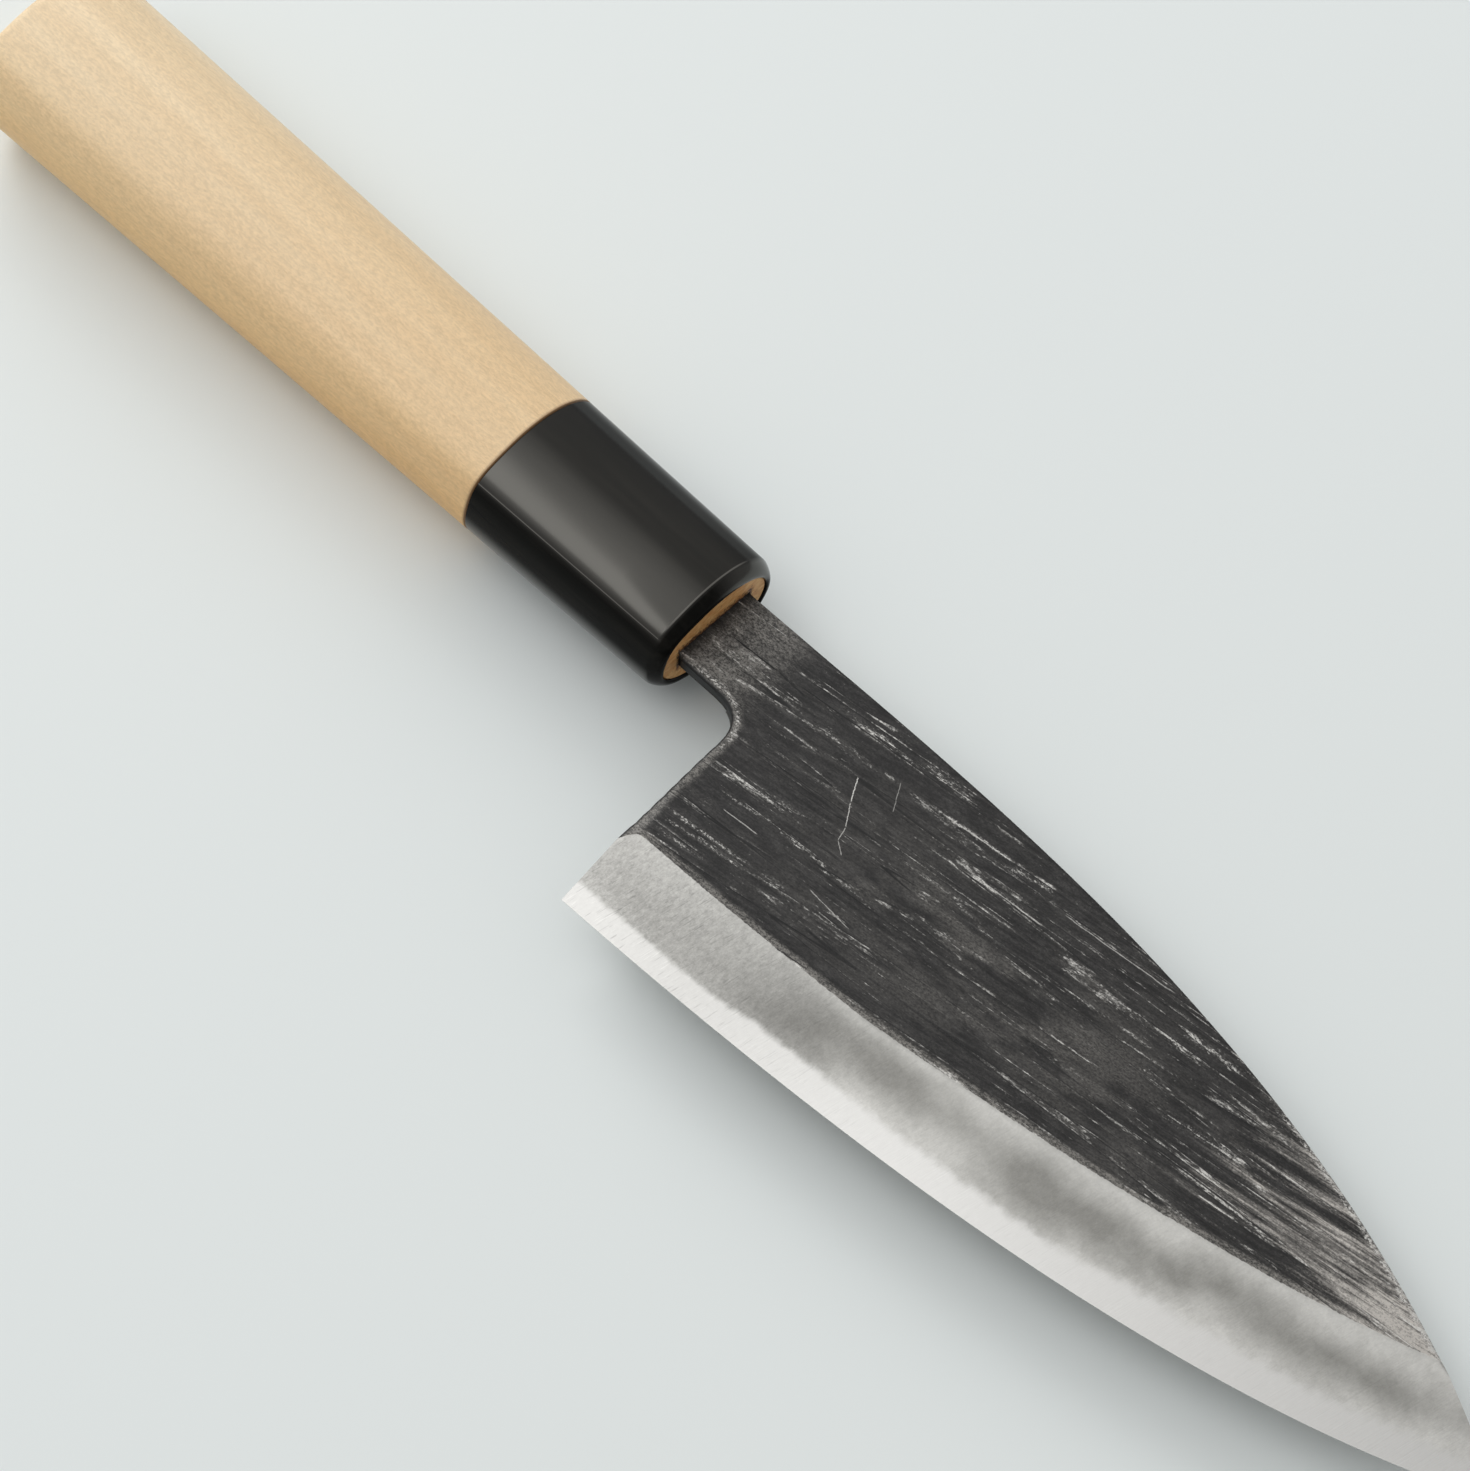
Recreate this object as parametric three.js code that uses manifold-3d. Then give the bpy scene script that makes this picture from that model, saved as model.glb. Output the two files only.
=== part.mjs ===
// Ajikiri: a small right-handed fish knife with a single bevel, lying on its left side.
// Millimetres. +X runs from the butt to the tip, +Y towards the spine, +Z out of the right face.
// Sizes along the knife are measured from the front of the ferrule, and sizes across it from the
// axis of the handle.
import * as THREE from "three";
import { mergeVertices } from "three/addons/utils/BufferGeometryUtils.js";
import Module from "manifold-3d";

// Blade seen from its right face
const tipReach = 129.9; // ferrule to tip
const tipDrop = 15.3; // tip below the axis
const heelReach = 11.6; // ferrule to the corner of the heel
const heelDrop = 36.5; // heel below the axis
const chinReach = 10.7; // ferrule to the top of the chin, the blade's rear end
const choilRadius = 5; // round corner between the neck and the chin
const neckHeight = 11.5; // spine to underside, where the neck enters the handle

// How the spine and the edge run: their directions at both ends, and how long each end holds its
// direction, as a share of the curve's own length along X
const spineNeckAngle = 0.7; // degrees, rising
const spineNeckPull = 0.263;
const spineTipAngle = 30.5; // degrees, falling
const spineTipPull = 0.336;
const edgeHeelAngle = 1.4; // degrees, rising
const edgeHeelPull = 0.449;
const edgeTipAngle = 26.6; // degrees, rising
const edgeTipPull = 0.227;

// Blade in section
const neckThickness = 3;
const tipThickness = 1.4; // what the taper of the spine comes down to at the tip, before the bevel
const edgeThickness = 0.2; // flat left along the cutting edge
const heelBevelHeight = 10.9; // edge to the bevel line
const tipBevelHeight = 13.2;
const steelThickness = 0.8; // hard layer on the back of the blade
const steelReach = 8; // ferrule to the rear end of the hard layer
const hollowDepth = 0.3; // hollow ground back
const hollowEdgeRim = 2; // flat rim of the back along the edge
const hollowSpineRim = 2.5; // and along the spine
const hollowHeelGap = 5; // heel to the start of the hollow
const hollowTipGap = 14; // end of the hollow to the tip

// Tang, a plain taper inside the handle
const tangLength = 72;
const tangEndHeight = 6;
const tangEndThickness = 2;

// Handle, built up round the tang
const fitClearance = 0.3; // round the tang in its slot, and round the tenon in the ferrule
const tenonEndWall = 2.25; // wood above and below the tang slot
const tenonSideWall = 3.5; // wood to the right and left of it
const tenonRecess = 0.1; // tenon's end behind the ferrule's front
const ferruleEndWall = 1.45; // at the ferrule's front, above and below the tenon
const ferruleSideWall = 2.35; // to the right and left of the tenon
const ferruleLength = 30.4;
const ferruleHeightFlare = 0.6; // how much half the height grows along the ferrule
const ferruleThicknessFlare = 0.45;
const ferruleRimDepth = 2; // rounded front rim, measured along the knife
const ferruleRimLip = 0.4; // narrow flat left round the tenon
const handleLength = 114.8; // butt to the front of the ferrule
const handleHeightFlare = 1.65; // how much half the height grows from the ferrule to the butt
const handleThicknessFlare = 1.3;
const buttRound = 1.5; // rounded edge of the butt

// The handle's section is an oval with a soft ridge at the lower right. These are shares of half its
// height and half its thickness.
const ridgeDown = 0.8; // ridge below the axis
const ridgeOut = 0.73; // ridge out to the right of the axis
const ridgeFacet = 0.3; // how far the flat above the ridge keeps its slope
const ridgeCorner = 0.14; // how far the surface holds that slope past the ridge
const undersideRise = 0.38; // how far up the right side the upright underside reaches

// Fineness of the curves
const outlineSteps = 40;
const sectionSteps = 12;
const ovalSteps = 48;
const bevelSteps = 24;
const hollowSteps = 20;
const hollowArcSteps = 8;
const roundSteps = 5;
const mergeDistance = 1e-4; // points closer than this are one point
const searchStep = 1e-6; // how closely a place on a curve is found

// Cutters reach this far past what they cut
const cutterMargin = 4;
const bevelOverrun = 2.5; // how far the bevel's cutter follows its slope, in bevel heights
const hollowSink = 0.08; // how far the rim of the hollow's cutter stays out of the back

const wasm = await Module();
wasm.setup();

function toSolid(geometry) {
  const bare = geometry.clone();
  bare.deleteAttribute("normal");
  bare.deleteAttribute("uv");
  const merged = mergeVertices(bare, mergeDistance);
  const mesh = new wasm.Mesh({
    numProp: 3,
    vertProperties: merged.attributes.position.array,
    triVerts: new Uint32Array(merged.index.array),
  });
  return new wasm.Manifold(mesh);
}

function toMesh(name, solid, material) {
  const shape = solid.getMesh();
  const geometry = new THREE.BufferGeometry();
  geometry.setAttribute("position", new THREE.BufferAttribute(shape.vertProperties, 3));
  geometry.setIndex(new THREE.BufferAttribute(shape.triVerts, 1));
  geometry.computeVertexNormals();
  const mesh = new THREE.Mesh(geometry, material);
  mesh.name = name;
  return mesh;
}

// A closed solid through rings of equal count, in order of rising X. Each ring is convex and runs
// anticlockwise seen from the tip.
function loft(rings) {
  const count = rings[0].length;
  const faces = [];
  for (let ring = 0; ring < rings.length - 1; ring += 1) {
    for (let point = 0; point < count; point += 1) {
      const here = ring * count + point;
      const next = ring * count + ((point + 1) % count);
      faces.push(here, next, next + count, here, next + count, here + count);
    }
  }
  const last = (rings.length - 1) * count;
  for (let point = 1; point < count - 1; point += 1) {
    faces.push(0, point + 1, point);
    faces.push(last, last + point, last + point + 1);
  }
  const geometry = new THREE.BufferGeometry().setFromPoints(rings.flat());
  geometry.setIndex(faces);
  return toSolid(geometry);
}

function rectangleRing(x, halfHeight, halfThickness) {
  return [
    new THREE.Vector3(x, -halfHeight, -halfThickness),
    new THREE.Vector3(x, halfHeight, -halfThickness),
    new THREE.Vector3(x, halfHeight, halfThickness),
    new THREE.Vector3(x, -halfHeight, halfThickness),
  ];
}

function ovalRing(x, halfHeight, halfThickness) {
  const ring = [];
  for (let step = 0; step < ovalSteps; step += 1) {
    const turn = (2 * Math.PI * step) / ovalSteps;
    ring.push(new THREE.Vector3(x, halfHeight * Math.cos(turn), halfThickness * Math.sin(turn)));
  }
  return ring;
}

// The handle's section at unit size: an oval, with its lower right quarter drawn out to the ridge
function makeUnitSection() {
  const path = new THREE.Path();
  const slope = (1 - ridgeOut) / (ridgeDown - ridgeFacet / 2);
  const facetTop = new THREE.Vector2(ridgeFacet - ridgeDown, ridgeOut + ridgeFacet * slope);
  const cornerTop = new THREE.Vector2(-ridgeDown - ridgeCorner, ridgeOut - ridgeCorner * slope);
  path.moveTo(0, 1);
  path.bezierCurveTo(-ridgeFacet, 1, facetTop.x, facetTop.y, -ridgeDown, ridgeOut);
  path.bezierCurveTo(cornerTop.x, cornerTop.y, -1, undersideRise, -1, 0);
  path.absellipse(0, 0, 1, 1, Math.PI, 2.5 * Math.PI);
  return path.getPoints(sectionSteps).slice(0, -1);
}
const unitSection = makeUnitSection();

function handleRing(x, halfHeight, halfThickness) {
  return unitSection.map((point) => new THREE.Vector3(x, point.x * halfHeight, point.y * halfThickness));
}

// Blade
const neckHalfHeight = neckHeight / 2;
const neckHalfThickness = neckThickness / 2;
const backPlane = -neckHalfThickness;
const weldPlane = backPlane + steelThickness;
const edgePlane = backPlane + edgeThickness;

function direction(degrees, length) {
  const turn = THREE.MathUtils.degToRad(degrees);
  return new THREE.Vector2(length, length * Math.tan(turn));
}

function bladeCurve(start, startAngle, startPull, end, endAngle, endPull) {
  const span = end.x - start.x;
  const leave = start.clone().add(direction(startAngle, span * startPull));
  const arrive = end.clone().sub(direction(endAngle, span * endPull));
  return new THREE.CubicBezierCurve(start, leave, arrive, end);
}

const tip = new THREE.Vector2(tipReach, -tipDrop);
const heel = new THREE.Vector2(heelReach, -heelDrop);
const neckTop = new THREE.Vector2(0, neckHalfHeight);
const chinTop = new THREE.Vector2(chinReach, -neckHalfHeight);
const spine = bladeCurve(neckTop, spineNeckAngle, spineNeckPull, tip, -spineTipAngle, spineTipPull);
const edge = bladeCurve(heel, edgeHeelAngle, edgeHeelPull, tip, edgeTipAngle, edgeTipPull);

function curveHeight(curve, x) {
  let low = 0;
  let high = 1;
  while (high - low > searchStep) {
    const middle = (low + high) / 2;
    if (curve.getPoint(middle).x < x) low = middle;
    else high = middle;
  }
  return curve.getPoint(low).y;
}

// Height of the flat right face, which falls evenly from the neck to the tip
function faceHeight(x) {
  return neckHalfThickness - ((neckThickness - tipThickness) * x) / tipReach;
}

function makeBladePlan() {
  const chinLine = heel.clone().sub(chinTop).normalize();
  const choilEnd = chinTop.clone().add(chinLine.multiplyScalar(choilRadius));
  const outline = new THREE.Shape();
  outline.moveTo(-tangLength, -tangEndHeight / 2);
  outline.lineTo(0, -neckHalfHeight);
  outline.lineTo(chinReach - choilRadius, -neckHalfHeight);
  outline.quadraticCurveTo(chinTop.x, chinTop.y, choilEnd.x, choilEnd.y);
  outline.lineTo(heel.x, heel.y);
  outline.bezierCurveTo(edge.v1.x, edge.v1.y, edge.v2.x, edge.v2.y, tip.x, tip.y);
  outline.bezierCurveTo(spine.v2.x, spine.v2.y, spine.v1.x, spine.v1.y, neckTop.x, neckTop.y);
  outline.lineTo(-tangLength, tangEndHeight / 2);
  const depth = neckThickness + 2 * cutterMargin;
  const geometry = new THREE.ExtrudeGeometry(outline, {
    depth,
    bevelEnabled: false,
    curveSegments: outlineSteps,
  });
  return toSolid(geometry.translate(0, 0, -depth / 2));
}

function makeBladeSide() {
  const profile = new THREE.Shape();
  const frontEnd = tipReach + cutterMargin;
  profile.moveTo(-tangLength, -tangEndThickness / 2);
  profile.lineTo(0, backPlane);
  profile.lineTo(frontEnd, backPlane);
  profile.lineTo(frontEnd, faceHeight(frontEnd));
  profile.lineTo(0, neckHalfThickness);
  profile.lineTo(-tangLength, tangEndThickness / 2);
  const depth = 2 * (heelDrop + neckHeight + cutterMargin);
  const geometry = new THREE.ExtrudeGeometry(profile, { depth, bevelEnabled: false });
  return toSolid(geometry.translate(0, 0, -depth / 2).rotateX(Math.PI / 2));
}

// Everything above the bevel, which is straight from the edge up to the bevel line and on past it
function makeBevelCutter() {
  const topPlane = bevelOverrun * neckThickness + cutterMargin;
  const rings = [];
  function addRing(x, edgeHeight, bevelHeight, faceRise) {
    const slope = faceRise / bevelHeight;
    const low = edgeHeight - cutterMargin;
    const high = edgeHeight + bevelOverrun * bevelHeight;
    rings.push([
      new THREE.Vector3(x, low, edgePlane - slope * cutterMargin),
      new THREE.Vector3(x, high, edgePlane + bevelOverrun * faceRise),
      new THREE.Vector3(x, high, topPlane),
      new THREE.Vector3(x, low, topPlane),
    ]);
  }
  for (let step = 0; step <= bevelSteps; step += 1) {
    const share = step / bevelSteps;
    const point = edge.getPoint(share);
    const bevelHeight = THREE.MathUtils.lerp(heelBevelHeight, tipBevelHeight, share);
    const faceRise = faceHeight(point.x) - edgePlane;
    if (step === 0) addRing(point.x - cutterMargin, point.y, bevelHeight, faceRise);
    addRing(point.x, point.y, bevelHeight, faceRise);
    if (step === bevelSteps) addRing(point.x + cutterMargin, point.y, bevelHeight, faceRise);
  }
  return loft(rings);
}

// A shallow scoop out of the back that fades out towards the heel and the tip
function makeHollowCutter() {
  const start = heelReach + hollowHeelGap;
  const end = tipReach - hollowTipGap;
  const rings = [];
  for (let step = 0; step <= hollowSteps; step += 1) {
    const share = step / hollowSteps;
    const x = THREE.MathUtils.lerp(start, end, share);
    const low = curveHeight(edge, x) + hollowEdgeRim;
    const high = curveHeight(spine, x) - hollowSpineRim;
    const fade = Math.sqrt(Math.sin(Math.PI * share));
    const ring = [];
    for (let arc = 0; arc <= hollowArcSteps; arc += 1) {
      const across = arc / hollowArcSteps;
      const crown = fade * Math.sin(Math.PI * across);
      const y = THREE.MathUtils.lerp(high, low, across);
      ring.push(new THREE.Vector3(x, y, backPlane - hollowSink + (hollowDepth + hollowSink) * crown));
    }
    ring.push(new THREE.Vector3(x, low, backPlane - cutterMargin));
    ring.push(new THREE.Vector3(x, high, backPlane - cutterMargin));
    rings.push(ring);
  }
  return loft(rings);
}

function makeSteelRegion() {
  const length = tipReach + cutterMargin - steelReach;
  const width = 2 * (heelDrop + neckHeight + cutterMargin);
  const depth = steelThickness + cutterMargin;
  const geometry = new THREE.BoxGeometry(length, width, depth);
  return toSolid(geometry.translate(steelReach + length / 2, 0, weldPlane - depth / 2));
}

// Handle and ferrule
const slotHalfHeight = neckHalfHeight + fitClearance;
const slotHalfThickness = neckHalfThickness + fitClearance;
const tenonHalfHeight = slotHalfHeight + tenonEndWall;
const tenonHalfThickness = slotHalfThickness + tenonSideWall;
const boreHalfHeight = tenonHalfHeight + fitClearance;
const boreHalfThickness = tenonHalfThickness + fitClearance;
const frontHalfHeight = boreHalfHeight + ferruleEndWall;
const frontHalfThickness = boreHalfThickness + ferruleSideWall;
const shoulderHalfHeight = frontHalfHeight + ferruleHeightFlare;
const shoulderHalfThickness = frontHalfThickness + ferruleThicknessFlare;

function makeFerrule() {
  const rings = [handleRing(-ferruleLength, shoulderHalfHeight, shoulderHalfThickness)];
  const rimLip = Math.min(ferruleRimLip, ferruleEndWall, ferruleSideWall);
  for (let step = 0; step <= roundSteps; step += 1) {
    const turn = (Math.PI / 2) * (step / roundSteps);
    const back = ferruleRimDepth * (1 - Math.sin(turn));
    const inset = 1 - Math.cos(turn);
    const flare = back / ferruleLength;
    const halfHeight = frontHalfHeight + flare * ferruleHeightFlare - inset * (ferruleEndWall - rimLip);
    const halfThickness =
      frontHalfThickness + flare * ferruleThicknessFlare - inset * (ferruleSideWall - rimLip);
    rings.push(handleRing(-back, halfHeight, halfThickness));
  }
  const bore = loft([
    ovalRing(-ferruleLength - cutterMargin, boreHalfHeight, boreHalfThickness),
    ovalRing(cutterMargin, boreHalfHeight, boreHalfThickness),
  ]);
  return loft(rings).subtract(bore);
}

function makeHandle() {
  const woodLength = handleLength - ferruleLength;
  const rings = [];
  for (let step = 0; step <= roundSteps; step += 1) {
    const turn = (Math.PI / 2) * (1 - step / roundSteps);
    const fromButt = buttRound * (1 - Math.sin(turn));
    const inset = buttRound * (1 - Math.cos(turn));
    const flare = 1 - fromButt / woodLength;
    const halfHeight = shoulderHalfHeight + flare * handleHeightFlare - inset;
    const halfThickness = shoulderHalfThickness + flare * handleThicknessFlare - inset;
    rings.push(handleRing(fromButt - handleLength, halfHeight, halfThickness));
  }
  rings.push(handleRing(-ferruleLength, shoulderHalfHeight, shoulderHalfThickness));
  const tenon = loft([
    ovalRing(-ferruleLength - cutterMargin, tenonHalfHeight, tenonHalfThickness),
    ovalRing(-tenonRecess, tenonHalfHeight, tenonHalfThickness),
  ]);
  const slotEndHeight = tangEndHeight / 2 + fitClearance;
  const slotEndThickness = tangEndThickness / 2 + fitClearance;
  const slot = loft([
    rectangleRing(-tangLength - fitClearance, slotEndHeight, slotEndThickness),
    rectangleRing(0, slotHalfHeight, slotHalfThickness),
  ]);
  return loft(rings).add(tenon).subtract(slot);
}

const blade = makeBladePlan().intersect(makeBladeSide()).subtract(makeBevelCutter());
const steelRegion = makeSteelRegion();
const softIron = blade.subtract(steelRegion);
const edgeSteel = blade.intersect(steelRegion).subtract(makeHollowCutter());

const blackScale = new THREE.MeshStandardMaterial({ color: 0x343331, roughness: 0.6, metalness: 0.6 });
const brightSteel = new THREE.MeshStandardMaterial({ color: 0xcfccc8, roughness: 0.3, metalness: 1 });
const blackHorn = new THREE.MeshStandardMaterial({ color: 0x121211, roughness: 0.15, metalness: 0 });
const paleMagnolia = new THREE.MeshStandardMaterial({ color: 0xe2c79c, roughness: 0.6, metalness: 0 });

const knife = new THREE.Group();
knife.add(toMesh("soft_iron_body", softIron, blackScale));
knife.add(toMesh("edge_steel", edgeSteel, brightSteel));
knife.add(toMesh("ferrule", makeFerrule(), blackHorn));
knife.add(toMesh("handle", makeHandle(), paleMagnolia));

// The origin is the middle of the knife's box, at its lowest point
const box = new THREE.Box3().setFromObject(knife);
const middle = box.getCenter(new THREE.Vector3());
knife.position.set(-middle.x, -middle.y, -box.min.z);

export default knife;
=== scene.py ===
# Ajikiri knife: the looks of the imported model, in its own frame.
# Shapes are worked in millimetres from the knife's own point, on the handle's axis at the front of the
# ferrule, with x to the tip, y to the spine and z out of the right face, and then set into the frame.
import math

import bmesh
import bpy
import numpy as np
from mathutils import Matrix, Quaternion, Vector, noise
from mathutils.geometry import interpolate_bezier


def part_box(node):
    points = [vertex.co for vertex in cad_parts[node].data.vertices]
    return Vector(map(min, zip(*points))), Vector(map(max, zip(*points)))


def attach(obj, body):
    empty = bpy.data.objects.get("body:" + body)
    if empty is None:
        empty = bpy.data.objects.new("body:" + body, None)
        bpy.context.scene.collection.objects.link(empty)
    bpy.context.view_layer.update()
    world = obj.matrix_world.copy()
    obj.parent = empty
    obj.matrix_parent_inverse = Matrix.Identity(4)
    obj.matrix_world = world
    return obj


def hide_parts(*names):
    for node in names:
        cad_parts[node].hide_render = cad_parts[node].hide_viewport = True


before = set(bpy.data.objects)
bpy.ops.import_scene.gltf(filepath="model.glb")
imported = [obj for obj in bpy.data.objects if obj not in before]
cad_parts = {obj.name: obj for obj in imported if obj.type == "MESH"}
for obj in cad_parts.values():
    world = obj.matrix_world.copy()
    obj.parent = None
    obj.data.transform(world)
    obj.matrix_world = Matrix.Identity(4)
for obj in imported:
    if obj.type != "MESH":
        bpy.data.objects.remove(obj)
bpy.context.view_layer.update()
print("frame loaded")

mm = 0.001
ferruleLow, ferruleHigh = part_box("ferrule")
knifePoint = (ferruleLow + ferruleHigh) / 2
knifePoint.x = ferruleHigh.x
toFrame = Matrix.Translation(knifePoint) @ Matrix.Scale(mm, 4)


def knifeBox(node):
    low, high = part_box(node)
    return (low - knifePoint) / mm, (high - knifePoint) / mm


def mix(start, end, share):
    return start + (end - start) * share


def ease(value, start, end):
    share = np.clip((value - start) / (end - start), 0, 1)
    return share * share * (3 - 2 * share)


# Colours are written as they look on screen, 0 to 255
def tone(red, green, blue):
    def linear(level):
        share = level / 255
        return share / 12.92 if share <= 0.04045 else ((share + 0.055) / 1.055) ** 2.4
    return (linear(red), linear(green), linear(blue), 1)


# Small helpers for material nodes; those that are given a socket work in its node tree
def newMaterial(name):
    material = bpy.data.materials.new(name)
    material.use_nodes = True
    return material


# A new material, its node tree and the knife's coordinates in it
def newFinish(name):
    material = newMaterial(name)
    return material, material.node_tree, knifeCoords(material.node_tree)


# Sets or links the sockets of a material's own shader
def dressed(material, sockets):
    shader = material.node_tree.nodes["Principled BSDF"]
    for key, value in sockets.items():
        plug(value, shader.inputs[key])
    return material


def addNode(tree, kind, sockets=None, **settings):
    made = tree.nodes.new("ShaderNode" + kind)
    for key, value in settings.items():
        setattr(made, key, value)
    for key, value in (sockets or {}).items():
        plug(value, made.inputs[key])
    return made


def plug(value, socket):
    if isinstance(value, bpy.types.NodeSocket):
        socket.id_data.links.new(value, socket)
    else:
        socket.default_value = value


def calc(operation, first, second=0.0):
    tree = (first if isinstance(first, bpy.types.NodeSocket) else second).id_data
    return addNode(tree, "Math", {0: first, 1: second}, operation=operation).outputs[0]


def times(value, *factors):
    for factor in factors:
        value = calc("MULTIPLY", value, factor)
    return value


def plus(first, second):
    return calc("ADD", first, second)


def fade(value, start, end, low=0.0, high=1.0):
    sockets = {"Value": value, "From Min": start, "From Max": end, "To Min": low, "To Max": high}
    return addNode(value.id_data, "MapRange", sockets, interpolation_type="SMOOTHSTEP").outputs[0]


def blend(share, first, second):
    return addNode(share.id_data, "Mix", {0: share, 6: first, 7: second}, data_type="RGBA").outputs[2]


def scaled(colour, share):
    return addNode(colour.id_data, "VectorMath", {0: colour, 3: share}, operation="SCALE").outputs[0]


def tinted(colour, tint):
    return addNode(colour.id_data, "VectorMath", {0: colour, 1: tint}, operation="MULTIPLY").outputs[0]


# A measure that is painted on the piece
def painted(tree, name):
    return addNode(tree, "Attribute", attribute_name=name).outputs["Fac"]


# Object coordinates as millimetres from the knife's point
def knifeCoords(tree):
    place = addNode(tree, "TexCoord").outputs["Object"]
    sockets = {"Vector": place, "Location": knifePoint / -mm, "Scale": (1 / mm,) * 3}
    return addNode(tree, "Mapping", sockets).outputs[0]


# Noise whose marks are so many mm long, wide and deep, with their length turned about z
def grain(coords, size, turn=0.0, detail=3.0, roughness=0.6):
    sockets = {"Vector": coords, "Rotation": (0, 0, math.radians(turn)), "Scale": size}
    laid = addNode(coords.id_data, "Mapping", sockets, vector_type="TEXTURE").outputs[0]
    sockets = {"Vector": laid, "Scale": 1.0, "Detail": detail, "Roughness": roughness}
    return addNode(coords.id_data, "TexNoise", sockets).outputs[0]


def spreadOut(coords):
    return addNode(coords.id_data, "SeparateXYZ", {0: coords}).outputs


def bump(height, distance, strength):
    sockets = {"Height": height, "Distance": distance * mm, "Strength": strength}
    return addNode(height.id_data, "Bump", sockets).outputs[0]


def placed(name, data):
    made = bpy.data.objects.new(name, data)
    bpy.context.scene.collection.objects.link(made)
    return made


# Camera, floor and light
photoView = {
    "place": (146.8, -189.6, 419.9),  # mm from the knife's point
    "aim": (11.1, -8.3, 0),
    "roll": 8.23,  # degrees
    "lens": 102.94,
}


def makeCamera():
    camera = placed("photoCamera", bpy.data.cameras.new("photoCamera"))
    place = toFrame @ Vector(photoView["place"])
    aim = toFrame @ Vector(photoView["aim"])
    roll = Quaternion((0, 0, 1), math.radians(photoView["roll"]))
    camera.location = place
    camera.rotation_mode = "QUATERNION"
    camera.rotation_quaternion = (aim - place).to_track_quat("-Z", "Y") @ roll
    camera.data.lens = photoView["lens"]
    camera.data.clip_start = 0.01
    bpy.context.scene.camera = camera


studio = {
    "floorColour": tone(232, 237, 236),
    "floorSize": 8.0,  # m
    "floorRoughness": 0.9,
    "floorGloss": 0.1,
    "domeSide": 0.36,  # light from low down
    "domeTop": 1.44,  # light from the soft top of the dome
    "domeAim": (-0.30, -0.30, 0.90),
    "domeSpread": (0.70, 1.06),  # cosines from the aim between which the light grows
}
lamps = {  # aim from the knife, distance and size in m, and power in W
    "keyLight": ((-0.78, 0.36, 0.51), 1.3, (0.8, 0.8), 8.0),
    "ridgeStrip": ((-0.34, -0.34, 0.88), 0.9, (0.8, 0.3), 1.1),
}


def makeFloor():
    bm = bmesh.new()
    bmesh.ops.create_grid(bm, x_segments=1, y_segments=1, size=studio["floorSize"] / 2)
    mesh = bpy.data.meshes.new("studioFloor")
    bm.to_mesh(mesh)
    bm.free()
    floor = placed("studioFloor", mesh)
    paper = {"Base Color": studio["floorColour"], "Roughness": studio["floorRoughness"],
             "Specular IOR Level": studio["floorGloss"]}
    mesh.materials.append(dressed(newMaterial("palePaper"), paper))


# A soft dome of light, brighter overhead
def makeDome():
    world = bpy.data.worlds.new("studioDome")
    bpy.context.scene.world = world
    world.use_nodes = True
    tree = world.node_tree
    way = addNode(tree, "TexCoord").outputs["Generated"]
    aim = Vector(studio["domeAim"]).normalized()
    toTop = addNode(tree, "VectorMath", {0: way, 1: aim}, operation="DOT_PRODUCT").outputs["Value"]
    light = fade(toTop, *studio["domeSpread"], studio["domeSide"], studio["domeTop"])
    plug(light, tree.nodes["Background"].inputs["Strength"])
    tree.nodes["Background"].inputs["Color"].default_value = (1, 1, 1, 1)


def makeLamp(name, aim, reach, size, power):
    light = bpy.data.lights.new(name, "AREA")
    light.shape = "RECTANGLE"
    light.size, light.size_y = size
    light.energy = power
    lamp = placed(name, light)
    aim = Vector(aim).normalized()
    lamp.location = knifePoint + aim * reach
    lamp.rotation_mode = "QUATERNION"
    lamp.rotation_quaternion = (-aim).to_track_quat("-Z", "Y")


makeCamera()
makeFloor()
makeDome()
for name, setting in lamps.items():
    makeLamp(name, *setting)
bpy.context.scene.view_settings.view_transform = "Standard"
print("camera, floor and light set")


# A finished bmesh becomes a piece that stands for its node and rides with the knife
def finishPiece(bm, name, node, materials, sharpAngle):
    bmesh.ops.recalc_face_normals(bm, faces=bm.faces[:])
    for face in bm.faces:
        face.smooth = True
    for edge in bm.edges:
        edge.smooth = edge.calc_face_angle(0) < math.radians(sharpAngle) and not edge.seam
    openEdges = sum(1 for edge in bm.edges if not edge.is_manifold)
    print(name, len(bm.faces), "faces,", openEdges, "open edges")
    bmesh.ops.transform(bm, matrix=toFrame, verts=bm.verts[:])
    mesh = bpy.data.meshes.new(name)
    bm.to_mesh(mesh)
    bm.free()
    for material in materials:
        mesh.materials.append(material)
    piece = placed(name, mesh)
    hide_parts(node)
    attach(piece, "root")
    return piece


# A measure at each point, for the finishes to read
def paint(mesh, name, values):
    mesh.attributes.new(name, "FLOAT", "POINT").data.foreach_set("value", values)


def newVerts(made):
    return [part for part in made["geom"] if isinstance(part, bmesh.types.BMVert)]


def newEdges(made):
    verts = set(newVerts(made))
    edges = [part for part in made["geom"] if isinstance(part, bmesh.types.BMEdge)]
    return [edge for edge in edges if edge.verts[0] in verts and edge.verts[1] in verts]


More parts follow.
